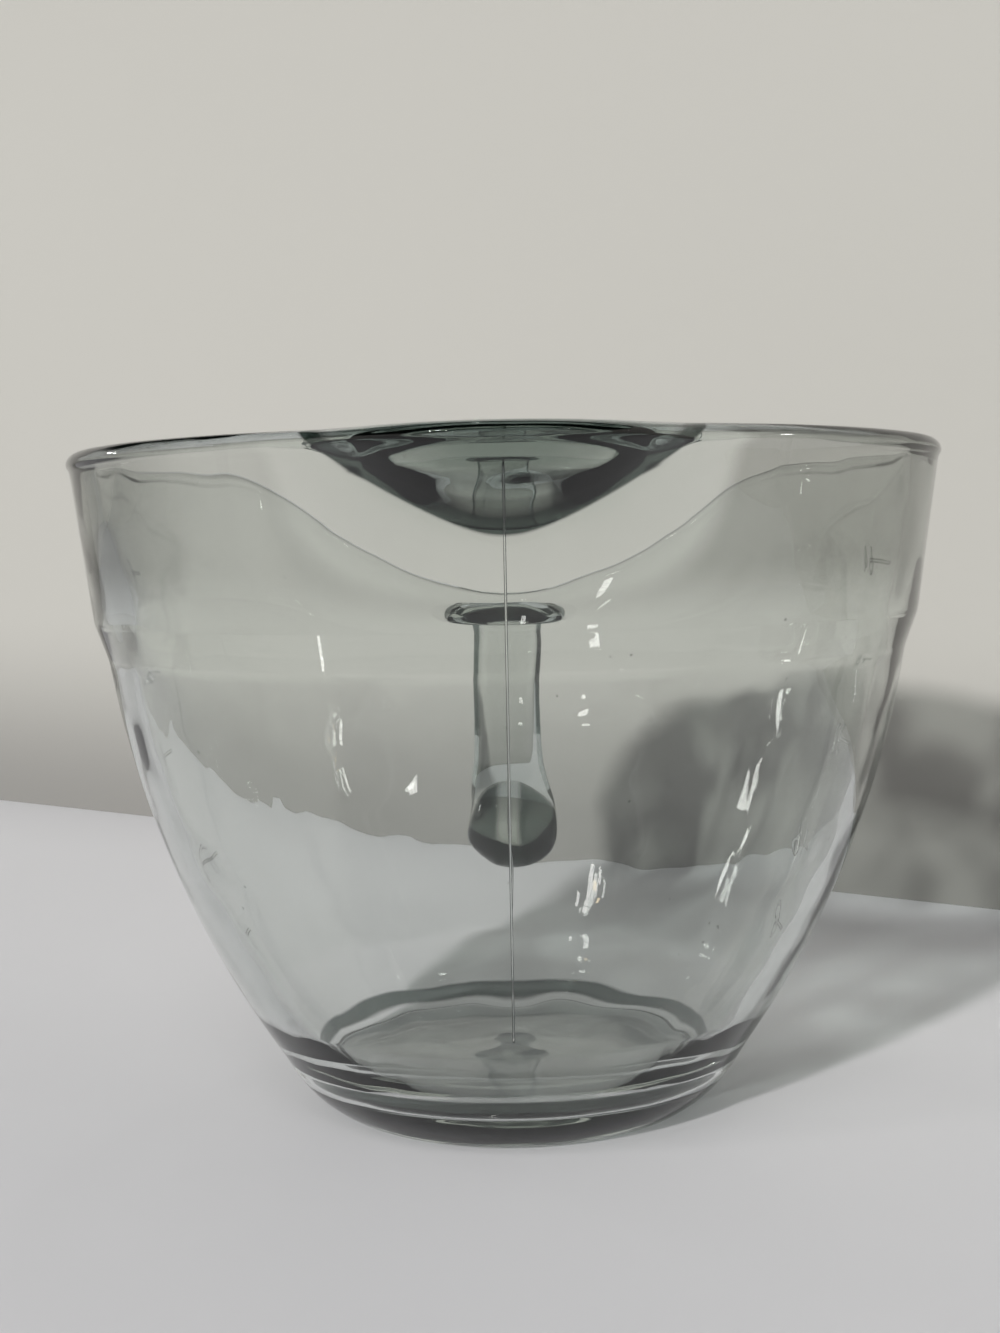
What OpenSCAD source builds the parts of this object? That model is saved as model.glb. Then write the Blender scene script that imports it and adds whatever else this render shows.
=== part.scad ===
// Pressed-glass batter bowl with a wide pouring spout and an open-ended handle.
// Millimetres. Z is up, the standing face is at Z = 0 and the bowl's axis is the Z axis.
// The spout points along -Y, the handle along +Y, and the two scales lie at -X and +X.

/* [Bowl] */
// Outer diameter over the rim bead
rim_d = 197; // [180:1:214]
// Height from the standing face to the top of the rim
bowl_h = 150; // [142:1:165]
// Diameter of the flat standing face
foot_d = 84; // [76:1:94]
// Outer diameter where the rounded heel runs into the wall
heel_d = 108; // [102:1:116]
// Height at which the rounded heel runs into the wall
heel_h = 13; // [11:0.5:16]
// How far the heel bulges past a straight line
heel_bow = 1.4; // [0.6:0.1:2]
// How far the lower wall bulges past a straight line
wall_bow = 5.5; // [3:0.25:7]
// Thickness of the wall at the waist
wall_t = 5; // [4:0.25:6.5]
// Thickness of the glass under the floor
floor_t = 10; // [8:0.5:12]
// Height of the separate base disc
foot_h = 5; // [3:0.5:6.5]
// Diameter of the flat part of the floor inside
floor_d = 78; // [68:1:84]
// Height of the top of the floor's fillet
fillet_h = 25; // [20:0.5:32]
// How far the floor's fillet is hollowed below a straight line
fillet_bow = 3.6; // [2.5:0.1:4.5]

/* [Upper band and rim] */
// Height of the band, from the shoulder to the top of the rim
band_h = 37.5; // [33:0.5:42]
// Height of the sloping shoulder below the band
shoulder_h = 8; // [5:0.5:11]
// How far the shoulder steps in below the band
shoulder_step = 2.9; // [2:0.1:4]
// How much the band's radius grows up to the rim
band_flare = 4.5; // [3:0.25:6]
// Thickness of the band below the rim
band_t = 6; // [5:0.25:7]
// Height of the rounded bead along the rim
bead_h = 3.5; // [2.5:0.25:4.5]
// How far the bead stands out past the band
bead_out = 0.7; // [0.4:0.1:1.2]

/* [Spout] */
// How far the lip reaches past the rim
spout_reach = 21; // [14:1:26]
// Half the angle that the spout takes up, in degrees
spout_half = 33; // [27:1:38]
// How far the lip dips below the rim
spout_dip = 1.9; // [0:0.1:3.5]
// Roundness of the lip's tip, in degrees
tip_angle = 5; // [3:0.5:9]
// Depth of the trough inside, below the bead
trough_h = 27; // [20:0.5:32]

/* [Handle] */
// How far the handle reaches out past the rim
handle_reach = 36; // [32:1:42]
// Width of the grip
grip_w = 21.5; // [18:0.5:25]
// Thickness of the grip
grip_t = 11.5; // [9:0.5:13]
// Width of the flared root at the band
root_w = 42; // [34:1:50]
// Thickness of the root at the band
root_t = 18; // [14:0.5:21]
// Width of the free end
end_w = 27; // [23:0.5:31]
// Thickness of the free end
end_t = 20; // [15:0.5:22]
// Gap between the top of the root and the bead
root_drop = 1.5; // [1:0.25:3]
// Radius of the upper bend along the handle's centre line
bend_r = 20; // [16:0.5:23]
// Height of the point where the free end begins to curl in
curl_z = 61; // [55:1:68]
// Radius of the curl along the handle's centre line
curl_r = 19; // [16:0.5:22]
// Length of the rounded tip after the curl
tip_l = 11; // [9:0.5:14]

/* [Scales and seams] */
// Height of the raised figures
figure_h = 8; // [6:0.5:9]
// Width of a stroke of the raised figures
stroke_w = 1.3; // [1:0.1:1.6]
// How far the lines and figures stand out
raise = 0.5; // [0.3:0.1:0.8]
// Width of a scale line
line_w = 1; // [0.8:0.1:1.4]
// Angle that a scale line takes up, in degrees
line_angle = 9; // [6:1:12]
// How far the mould seams stand out
seam_out = 0.3; // [0.2:0.05:0.4]
// Width of a mould seam at the waist
seam_w = 0.8; // [0.6:0.1:1.2]

/* [Hidden] */
$fn = 96;
glass = [0.78, 0.87, 0.84, 0.6];
thick_glass = [0.55, 0.68, 0.64, 0.7];
mark_glass = [0.66, 0.78, 0.74, 0.9];

// Steps along each part of an outline
arc_steps = 14;
band_steps = 12;
bead_steps = 18;
spout_steps = 48;
ring_sides = 28;

// Heights and radii of the outer outline, from the foot up
rim_r = rim_d / 2;
band_z = bowl_h - band_h;
waist_z = band_z - shoulder_h;
bead_z = bowl_h - bead_h;
band_top_r = rim_r - bead_out;
band_low_r = band_top_r - band_flare;
waist_r = band_low_r - shoulder_step;
foot_corner = [foot_d / 2, 0];
heel_corner = [heel_d / 2, heel_h];
waist_corner = [waist_r, waist_z];

// Points of a round arc from a to b that bulges by bow to the right of its way
function bow_radius(a, b, bow) = (norm(b - a) * norm(b - a) / 4 + bow * bow) / (2 * bow);
function right_side(a, b) = [(b - a)[1], -(b - a)[0]] / norm(b - a);
function bow_arc(a, b, bow, steps) =
    let (r = bow_radius(a, b, bow), side = right_side(a, b))
    let (centre = (a + b) / 2 - side * (r - bow))
    let (middle = atan2(side[1], side[0]), half = asin(norm(b - a) / 2 / r))
    [for (i = [0:steps]) centre + r * [cos(middle + half * (2 * i / steps - 1)),
        sin(middle + half * (2 * i / steps - 1))]];
function reversed(path) = [for (i = [len(path) - 1:-1:0]) path[i]];
function tail(path) = [for (i = [1:len(path) - 1]) path[i]];
function line_points(a, b, steps) = [for (i = [0:steps]) a + (b - a) * i / steps];

// The outer and inner outlines as points of radius and height, both rising
outer_path = concat(
    bow_arc(foot_corner, heel_corner, heel_bow, arc_steps),
    tail(bow_arc(heel_corner, waist_corner, wall_bow, arc_steps)),
    [[band_low_r, band_z]],
    tail(line_points([band_low_r, band_z], [band_top_r, bead_z], band_steps)));
// The wall is a little thicker, measured level, where it leans out above the heel
heel_wall_share = 1.18;
// The inside runs almost straight past the band, with a slight hollow
inner_bow_share = 0.1;
fillet_corner = [radius_at(outer_path, fillet_h) - wall_t * heel_wall_share, fillet_h];
waist_inner = [waist_r - wall_t, waist_z];
rim_inner = [band_top_r - band_t, bead_z];
inner_top = bow_arc(waist_inner, rim_inner, wall_t * inner_bow_share, band_steps);
// The inner wall's arc is shorter than the outer one, so its bulge is less
fillet_span_share = pow((waist_z - fillet_h) / (waist_z - heel_h), 2);
inner_path = concat(
    bow_arc([floor_d / 2, floor_t], fillet_corner, fillet_bow, arc_steps),
    tail(bow_arc(fillet_corner, waist_inner, wall_bow * fillet_span_share, arc_steps)),
    tail(inner_top));

// Radius of an outline at a height, and the part of an outline between two heights
function radius_at(path, z) = lookup(z, [for (p = path) [p[1], p[0]]]);
function between(path, low, high) = concat(
    [[radius_at(path, low), low]],
    [for (p = path) if (p[1] > low + tiny && p[1] < high - tiny) p],
    [[radius_at(path, high), high]]);
// Two heights closer than this are taken as one
tiny = 0.001;
function shifted(path, by) = [for (p = path) p + [by, 0]];

// A turned ring of the bowl between two heights
module wall_ring(low, high) {
    rotate_extrude()
        polygon(concat(between(outer_path, low, high), reversed(between(inner_path, low, high))));
}

// A turned solid disc that fills the outer outline between two heights
module solid_disc(low, high) {
    rotate_extrude()
        polygon(concat([[0, low]], between(outer_path, low, high), [[0, high]]));
}

// The base disc that the bowl stands on
module foot() {
    color(thick_glass) solid_disc(0, foot_h);
}

// The thick floor above the base disc
module floor() {
    color(thick_glass) solid_disc(foot_h, floor_t);
}

// The rounded heel with the floor's fillet inside
module heel() {
    color(thick_glass) wall_ring(floor_t, fillet_h);
}

// The tapered wall up to the waist
module lower_wall() {
    color(glass) wall_ring(fillet_h, waist_z);
}

// The sloping step below the band
module shoulder() {
    color(glass) wall_ring(waist_z, band_z);
}

// The bead's outline, a flat-bottomed half oval
bead_low_r = band_top_r - band_t;
bead_mid_r = (rim_r + bead_low_r) / 2;
bead_half_w = (rim_r - bead_low_r) / 2;
// Below 1, the bead's oval is squarer than an ellipse
bead_round_share = 0.8;
function oval(share, power) = sign(share) * pow(abs(share), power);
bead_path = [for (i = [0:bead_steps]) let (a = 180 * i / bead_steps)
    [bead_mid_r + bead_half_w * oval(cos(a), bead_round_share),
        bead_z + bead_h * oval(sin(a), bead_round_share)]];

// A turned ring that leaves out the spout's part of the circle
module ring_past_spout(outline) {
    rotate([0, 0, spout_half - 90])
        rotate_extrude(angle = 360 - 2 * spout_half)
            polygon(outline);
}

// The thicker band above the shoulder
band_inner_path = between(inner_path, band_z, bead_z);
band_outer_path = between(outer_path, band_z, bead_z);
module upper_band() {
    color(glass) ring_past_spout(concat(band_outer_path, reversed(band_inner_path)));
}

// The rounded bead on top of the band
module rim_bead() {
    color(glass) ring_past_spout(bead_path);
}

// Shares of the spout's reach and dip at an angle from its middle
reach_power_share = 1.35;
dip_power_share = 1.5;
function soft_angle(a) = sqrt(a * a + tip_angle * tip_angle) - tip_angle;
function reach_share(a) =
    pow(max(0, 1 - soft_angle(a) / soft_angle(spout_half)), reach_power_share);
function dip_share(a) = pow(max(0, 1 - a * a / (spout_half * spout_half)), dip_power_share);
// Share of the reach at a height, for a surface that starts to flare at low
function rise_share(z, low) = z <= low ? 0 : pow((z - low) / (bead_z - low), 2);
// Height share above the band's lower edge
function lift_share(z) = (z - band_z) / (bead_z - band_z);
trough_z = bead_z - trough_h;

// One section of the spout at an angle from its middle, outside first
function spout_section(a) = concat(
    [for (p = band_outer_path) [p[0] + spout_reach * reach_share(a) * rise_share(p[1], band_z),
        p[1] - spout_dip * dip_share(a) * lift_share(p[1])]],
    [for (p = reversed(band_inner_path))
        [p[0] + spout_reach * reach_share(a) * rise_share(p[1], trough_z),
        p[1] - spout_dip * dip_share(a) * lift_share(p[1])]]);
function lip_section(a) = [for (p = bead_path)
    p + [spout_reach * reach_share(a), -spout_dip * dip_share(a)]];

// A point of radius and height, turned by an angle from the spout's middle
function turned(p, a) = [p[0] * sin(a), -p[0] * cos(a), p[1]];

// A solid through a row of sections that have the same number of points
function side_faces(rows, count) = [for (j = [0:rows - 2], i = [0:count - 1], half = [0, 1])
    let (a = j * count + i, b = j * count + (i + 1) % count, c = a + count, d = b + count)
    half == 0 ? [a, c, b] : [b, c, d]];
module lofted(sections) {
    rows = len(sections);
    count = len(sections[0]);
    last = (rows - 1) * count;
    polyhedron(
        points = [for (s = sections, p = s) p],
        faces = concat(
            side_faces(rows, count),
            [[for (i = [0:count - 1]) i]],
            [[for (i = [count - 1:-1:0]) last + i]]));
}

// Angles of the spout's sections
spout_angles = [for (i = [0:spout_steps]) spout_half * (2 * i / spout_steps - 1)];

// The flared spout with its trough
module pour_spout() {
    color(glass)
        lofted([for (a = spout_angles) [for (p = spout_section(a)) turned(p, a)]]);
}

// The rounded lip along the spout's edge
module spout_lip() {
    color(glass)
        lofted([for (a = spout_angles) [for (p = lip_section(a)) turned(p, a)]]);
}

// The handle's centre line: out from the band, round the bend, down, and in at the curl
grip_y = rim_r + handle_reach - grip_t / 2;
root_z = bead_z - root_drop - root_t / 2;
// The root starts inside the band and is cut to the band's surface
root_start_y = band_low_r - band_t / 2;
bend_y = grip_y - bend_r;
// How far the grip leans in on its way down, as a share of its length
lean_share = 0.06;
bend_end = [grip_y, root_z - bend_r];
curl_y = bend_end[0] - (bend_end[1] - curl_z) * lean_share;
lean = atan(lean_share);
// Turn of the curl from the grip's direction, in degrees
curl_angle = 74;
curl_centre = [curl_y, curl_z] - curl_r * [cos(lean), -sin(lean)];
root_steps = 9;
bend_steps = 10;
grip_steps = 6;
curl_steps = 10;
tip_steps = 7;

// Each step of the path holds Y, Z and the direction's angle below level
root_line = [for (i = [0:root_steps])
    [root_start_y + (bend_y - root_start_y) * i / root_steps, root_z, 0]];
bend_line = [for (i = [1:bend_steps]) let (a = (90 + lean) * i / bend_steps)
    [bend_y + bend_r * sin(a), root_z - bend_r + bend_r * cos(a), a]];
bend_last = bend_line[bend_steps - 1];
grip_line = [for (i = [1:grip_steps - 1])
    [bend_last[0] + (curl_y - bend_last[0]) * i / grip_steps,
        bend_last[1] + (curl_z - bend_last[1]) * i / grip_steps, 90 + lean]];
curl_line = [for (i = [0:curl_steps]) let (a = lean + curl_angle * i / curl_steps)
    [curl_centre[0] + curl_r * cos(a), curl_centre[1] - curl_r * sin(a), 90 + a]];
curl_last = curl_line[curl_steps];
// The tip stops a little short of a point, with a small flat end
tip_turn_share = 0.94;
function tip_share(i) = sin(tip_turn_share * 90 * i / tip_steps);
tip_line = [for (i = [1:tip_steps]) let (s = tip_l * tip_share(i))
    [curl_last[0] + s * cos(curl_last[2]), curl_last[1] - s * sin(curl_last[2]), curl_last[2]]];
handle_line = concat(root_line, bend_line, grip_line, curl_line, tip_line);

// Where the parts of the handle end along its line
root_last = root_steps + 3;
grip_last = root_steps + bend_steps + grip_steps - 1;
handle_last = len(handle_line) - 1;

// Width and thickness at each step of the handle's line
function ease(s) = let (t = min(1, max(0, s))) t * t * (3 - 2 * t);
function root_fade(i) = 1 - ease(i / (root_steps + 2));
function end_grow(i) = ease((i - grip_last + 2) / (curl_steps + 1));
function tip_fade(i) = i <= handle_last - tip_steps ? 1
    : cos(tip_turn_share * 90 * (i - handle_last + tip_steps) / tip_steps);
function width_at(i) = (grip_w + (root_w - grip_w) * pow(root_fade(i), 2)
    + (end_w - grip_w) * end_grow(i)) * tip_fade(i);
function depth_at(i) = (grip_t + (root_t - grip_t) * root_fade(i)
    + (end_t - grip_t) * end_grow(i)) * tip_fade(i);

// A rounded section of the handle, across its line
handle_round_share = 0.82;
function handle_section(i) =
    let (p = handle_line[i], w = width_at(i) / 2, t = depth_at(i) / 2)
    [for (k = [0:ring_sides - 1]) let (a = 360 * k / ring_sides)
        let (u = w * oval(cos(a), handle_round_share), v = t * oval(sin(a), handle_round_share))
        [u, p[0] + v * sin(p[2]), p[1] + v * cos(p[2])]];
module handle_part(first, last) {
    lofted([for (i = [first:last]) handle_section(i)]);
}

// The outer shape of the band without its hollow, which the root meets
module band_core() {
    solid_disc(waist_z, bead_z);
}

// The flared root of the handle
module handle_root() {
    color(thick_glass) difference() {
        handle_part(0, root_last);
        band_core();
    }
}

// The straight grip
module handle_grip() {
    color(glass) handle_part(root_last, grip_last);
}

// The free end that curls in towards the bowl
module handle_end() {
    color(thick_glass) handle_part(grip_last, handle_last);
}

// A thin raised strip on the outer wall, centred on an angle, between two heights
module wall_strip(middle, span, low, high, out) {
    path = between(outer_path, low, high);
    rotate([0, 0, middle - span / 2])
        rotate_extrude(angle = span)
            polygon(concat(path, reversed(shifted(path, out))));
}

// The seams that the mould leaves at the front and the back
seam_span = 2 * asin(seam_w / 2 / waist_r);
module front_seam() {
    color(mark_glass) wall_strip(-90, seam_span, foot_h, waist_z, seam_out);
}
module back_seam() {
    color(mark_glass) wall_strip(90, seam_span, foot_h, waist_z, seam_out);
}

// Heights of the scale's levels, as shares of the bowl's height, for 8, 6, 4, 2 and 1 cups
level_shares = [0.81, 0.67, 0.53, 0.36, 0.24];
function level_z(i) = bowl_h * level_shares[i];
left_angle = 180;
right_angle = 0;

module scale_lines(middle) {
    for (i = [0:len(level_shares) - 1])
        wall_strip(middle - line_angle / 2, line_angle,
            level_z(i) - line_w / 2, level_z(i) + line_w / 2, raise);
}

module left_scale_lines() {
    color(mark_glass) scale_lines(left_angle);
}

module right_scale_lines() {
    color(mark_glass) scale_lines(right_angle);
}

// Flat figures drawn with strokes, as wide as half their height
module bar(a, b) {
    along = b - a;
    translate(a)
        rotate([0, 0, atan2(along[1], along[0])])
            translate([-stroke_w / 2, -stroke_w / 2])
                square([norm(along) + stroke_w, stroke_w]);
}
module bowl_stroke(centre, r, from, to) {
    steps = 10;
    inside = [for (i = [0:steps]) let (a = from + (to - from) * i / steps)
        centre + (r - stroke_w / 2) * [cos(a), sin(a)]];
    outside = [for (i = [steps:-1:0]) let (a = from + (to - from) * i / steps)
        centre + (r + stroke_w / 2) * [cos(a), sin(a)]];
    polygon(concat(inside, outside));
}
half_w = figure_h / 4;
loop_r = (figure_h - stroke_w) / 4;
loop_low = [0, loop_r + stroke_w / 2];
loop_high = [0, figure_h - loop_r - stroke_w / 2];
figure_top = figure_h - stroke_w / 2;
figure_low = stroke_w / 2;
module ring_at(centre) {
    translate(centre) difference() {
        circle(r = loop_r + stroke_w / 2);
        circle(r = loop_r - stroke_w / 2);
    }
}
// Where the open strokes of a 2 and a 3 begin and end on their circles
hook_angle = 160;
neck_angle = -45;
open_angle = 150;
module figure_1() {
    bar([0, figure_low], [0, figure_top]);
    bar([-half_w / 2, figure_top - half_w / 2], [0, figure_top]);
}
module figure_2() {
    bowl_stroke(loop_high, loop_r, hook_angle, neck_angle);
    bar([-loop_r, figure_low], loop_high + loop_r * [cos(neck_angle), sin(neck_angle)]);
    bar([-loop_r, figure_low], [loop_r, figure_low]);
}
module figure_3() {
    bowl_stroke(loop_high, loop_r, open_angle, -90);
    bowl_stroke(loop_low, loop_r, 90, -open_angle);
}
module figure_4() {
    bar([loop_r / 2, figure_low], [loop_r / 2, figure_top]);
    bar([loop_r / 2, figure_top], [-loop_r, loop_low[1]]);
    bar([-loop_r, loop_low[1]], [loop_r, loop_low[1]]);
}
module figure_6() {
    ring_at(loop_low);
    bar([-loop_r, loop_low[1]], [half_w / 2, figure_top]);
}
module figure_8() {
    ring_at(loop_low);
    ring_at(loop_high);
}
module flat_figure(value) {
    if (value == 1) figure_1();
    if (value == 2) figure_2();
    if (value == 3) figure_3();
    if (value == 4) figure_4();
    if (value == 6) figure_6();
    if (value == 8) figure_8();
}

// Distance between the middles of two figures, as a share of their height
figure_pitch_share = 0.78;
pitch_w = figure_h * figure_pitch_share;
// A raised figure on the wall, standing just past the scale line at its right
module wall_figure(middle, level, place, value) {
    low = level - figure_h / 2;
    away = radius_at(outer_path, level);
    step = atan(pitch_w / away);
    angle = middle + step * (place + 1);
    intersection() {
        wall_strip(angle, step, low, low + figure_h, raise);
        rotate([90, 0, angle + 90])
            translate([0, low, away - figure_h])
                linear_extrude(height = 2 * figure_h)
                    flat_figure(value);
    }
}

// The figures of each level, read from left to right
left_figures = [[8], [6], [4], [2], [1]];
right_figures = [[6, 4], [4, 8], [3, 2], [1, 6], [8]];
module scale_figures(middle, figures) {
    for (i = [0:len(figures) - 1], k = [0:len(figures[i]) - 1])
        wall_figure(middle, level_z(i), k, figures[i][k]);
}

module left_scale_figures() {
    color(mark_glass) scale_figures(left_angle, left_figures);
}

module right_scale_figures() {
    color(mark_glass) scale_figures(right_angle, right_figures);
}

foot();
floor();
heel();
lower_wall();
shoulder();
upper_band();
rim_bead();
pour_spout();
spout_lip();
handle_root();
handle_grip();
handle_end();
front_seam();
back_seam();
left_scale_lines();
left_scale_figures();
right_scale_lines();
right_scale_figures();
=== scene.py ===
import math
import bpy
import numpy as np
from mathutils import Matrix, Vector, noise


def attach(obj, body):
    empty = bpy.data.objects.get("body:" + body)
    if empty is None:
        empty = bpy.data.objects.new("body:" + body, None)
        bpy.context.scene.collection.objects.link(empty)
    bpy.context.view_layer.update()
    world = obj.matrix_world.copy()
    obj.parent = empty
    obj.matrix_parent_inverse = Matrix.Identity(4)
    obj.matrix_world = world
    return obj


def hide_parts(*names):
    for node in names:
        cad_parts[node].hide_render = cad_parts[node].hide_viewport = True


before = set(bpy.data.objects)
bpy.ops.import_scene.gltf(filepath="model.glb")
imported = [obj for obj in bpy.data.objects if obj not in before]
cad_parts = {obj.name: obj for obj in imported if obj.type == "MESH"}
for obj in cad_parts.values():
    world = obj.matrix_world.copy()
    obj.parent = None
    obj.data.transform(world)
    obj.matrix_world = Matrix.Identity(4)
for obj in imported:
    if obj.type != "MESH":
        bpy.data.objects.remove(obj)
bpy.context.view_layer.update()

# A pressed-glass batter bowl: the spout is at -Y, the handle at +Y, Z is up.
# Pieces are shaped in millimetres; looks, lamps, room and finished meshes are in metres.
mm = 0.001
bodyName = "root"
tiny = 1e-12


# shader helpers: one class for numbers, one for the tree

class Value:
    # a number in a shader tree, which can be used in plain Python expressions
    def __init__(self, maker, socket):
        self.maker = maker
        self.socket = socket

    def reckon(self, operation, first, second=0.0):
        return self.maker.ask("ShaderNodeMath", 0, {"operation": operation}, {0: first, 1: second})

    def __add__(self, other):
        return self.reckon("ADD", self, other)

    def __sub__(self, other):
        return self.reckon("SUBTRACT", self, other)

    def __rsub__(self, other):
        return self.reckon("SUBTRACT", other, self)

    def __mul__(self, other):
        return self.reckon("MULTIPLY", self, other)

    def __truediv__(self, other):
        return self.reckon("DIVIDE", self, other)

    def __rtruediv__(self, other):
        return self.reckon("DIVIDE", other, self)

    def __pow__(self, other):
        return self.reckon("POWER", self, other)

    def __gt__(self, other):
        return self.reckon("GREATER_THAN", self, other)

    def __lt__(self, other):
        return self.reckon("LESS_THAN", self, other)

    def atLeast(self, other):
        return self.reckon("MAXIMUM", self, other)

    def atMost(self, other):
        return self.reckon("MINIMUM", self, other)

    def turnFrom(self, other):
        return self.reckon("ARCTAN2", self, other)

    def __abs__(self):
        return self.reckon("ABSOLUTE", self)

    # a sum and a product are the same from both sides
    __radd__ = __add__
    __rmul__ = __mul__

    def step(self, low, high):
        # 0 below low, 1 above high, smooth between
        return self.maker.ask(
            "ShaderNodeMapRange", 0, {"interpolation_type": "SMOOTHSTEP"},
            {"Value": self, "From Min": low, "From Max": high, "To Min": 0.0, "To Max": 1.0})


class Maker:
    # makes the nodes of one tree
    def __init__(self, tree):
        self.tree = tree
        tree.nodes.clear()

    def node(self, kind, settings=None, inputs=None):
        made = self.tree.nodes.new(kind)
        for name, setting in (settings or {}).items():
            setattr(made, name, setting)
        for name, given in (inputs or {}).items():
            if isinstance(given, Value):
                self.tree.links.new(given.socket, made.inputs[name])
            else:
                made.inputs[name].default_value = given
        return made

    def value(self, made, output):
        return Value(self, made.outputs[output])

    def ask(self, kind, output, settings=None, inputs=None):
        return self.value(self.node(kind, settings, inputs), output)

    def axes(self, vector):
        # the three parts of a vector
        made = self.node("ShaderNodeSeparateXYZ", None, {"Vector": vector})
        return [self.value(made, k) for k in range(3)]

    def blend(self, share, a, b):
        # a colour between a and b
        return self.ask("ShaderNodeMix", 2, {"data_type": "RGBA"}, {"Factor": share, 6: a, 7: b})

    def mixed(self, share, a, b):
        # a surface between a and b
        return self.ask("ShaderNodeMixShader", 0, None, {0: share, 1: a, 2: b})

    def clear(self, colour=(1.0, 1.0, 1.0, 1.0)):
        return self.ask("ShaderNodeBsdfTransparent", "BSDF", None, {"Color": colour})

    def noise(self, place, scale, detail, roughness):
        return self.ask("ShaderNodeTexNoise", "Fac", None, {
            "Vector": place, "Scale": scale, "Detail": detail, "Roughness": roughness})


# small geometry helpers

def bowArc(a, b, bow, steps):
    # a round arc from a to b that bulges by bow to the right of its way
    a, b = np.array(a, float), np.array(b, float)
    way = b - a
    length = np.linalg.norm(way)
    side = np.array([way[1], -way[0]]) / length
    radius = (length ** 2 / 4 + bow ** 2) / (2 * bow)
    centre = (a + b) / 2 - side * (radius - bow)
    middle = math.atan2(side[1], side[0])
    half = math.asin(length / 2 / radius)
    turns = middle + half * np.linspace(-1, 1, steps + 1)
    return [centre + radius * np.array([math.cos(t), math.sin(t)]) for t in turns]


def spaced(points, gap):
    # the same line with points a steady distance apart
    points = np.array(points, float)
    run = np.concatenate([[0], np.cumsum(np.linalg.norm(np.diff(points, axis=0), axis=1))])
    count = max(2, int(round(run[-1] / gap)))
    at = np.linspace(0, run[-1], count + 1)
    return np.stack([np.interp(at, run, points[:, k]) for k in range(points.shape[1])], axis=1)


def softened(points, passes):
    # corners rounded a little more with each pass, the ends kept
    points = np.array(points, float)
    for _ in range(passes):
        points[1:-1] = points[1:-1] * 0.5 + (points[:-2] + points[2:]) * 0.25
    return points


def oval(share, power):
    return math.copysign(abs(share) ** power, share)


def ease(share):
    share = min(1.0, max(0.0, share))
    return share * share * (3 - 2 * share)


def ramp(place, startAndLength):
    # 0 before the start, 1 after the length, smooth between
    start, length = startAndLength
    return ease((place - start) / length)


def around(count):
    # each number below count with the next one, round a ring
    return [(k, (k + 1) % count) for k in range(count)]


# the bowl's section

bowlShape = {
    "footR": 42.0, "heelR": 54.0, "heelZ": 13.0, "heelBow": 1.4,
    "wallBow": 5.5, "wallT": 5.0, "floorT": 10.0, "floorR": 42.0,
    "grooveR": 43.6, "grooveZ": 8.9, "cornerR": 46.2, "cornerZ": 13.6, "cornerBow": 0.7,
    "filletZ": 25.0, "filletBow": 0.3, "heelWall": 1.18,
    "waistR": 90.4, "waistZ": 104.5, "bandR": 93.3, "bandZ": 112.5,
    "bandTopR": 97.8, "bandT": 6.0, "beadZ": 146.5, "rimR": 98.5, "height": 149.95,
    "beadPower": 0.8, "innerBow": 0.5,
}
spoutShape = {
    "half": 33.0, "dip": 0.4, "dipPower": 1.5, "tip": 3.0,
    "lipPasses": 6, "lipMm": 5.0, "lipBlend": 2.0,
    "bulge": 13.6, "bulgeSoft": 0.05,
    "beak": 8.0, "beakHalf": 19.3, "beakZ": 129.8, "beakPower": 1.15, "crease": 0.04,
    "beakEase": 0.5,
    "bulgeIn": 0.8, "bulgeInZ": 133.0, "bulgeInPower": 1.3,
    "trough": 15.4, "troughHalf": 13.6, "troughZ": 135.4, "troughPower": 1.6, "troughCrease": 0.06,
    "troughWave": 0.16, "troughWaveMm": 8.0, "troughCalm": (3.0, 6.0),
}
gridShape = {
    "fineGap": 0.4, "roundPasses": 7, "maxTurn": 4.5, "maxGap": 4.0, "bandGap": 0.6,
    "spoutStep": 0.6, "bowlStep": 2.1, "jointGap": 0.002,
    "heelSteps": 40, "wallSteps": 90, "beadSteps": 40, "cornerSteps": 24, "filletSteps": 16,
    "innerSteps": 70, "bandSteps": 30,
    "outerWave": 0.07, "innerWave": 0.10, "bandWave": 2.4, "rimCalm": 0.8, "waveSquash": 0.8,
    "outerWaveMm": 34.0, "innerWaveMm": 26.0,
    "outerShift": (3.7, 1.3, 8.1), "innerShift": (11.2, 5.6, 2.9), "rimMm": 2.0,
    # each ramp is a start and a length in millimetres
    "footRamp": (4, 14), "floorRamp": (15, 12), "bandRamp": (112, 12), "rootRamp": (24, 14),
}


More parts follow.
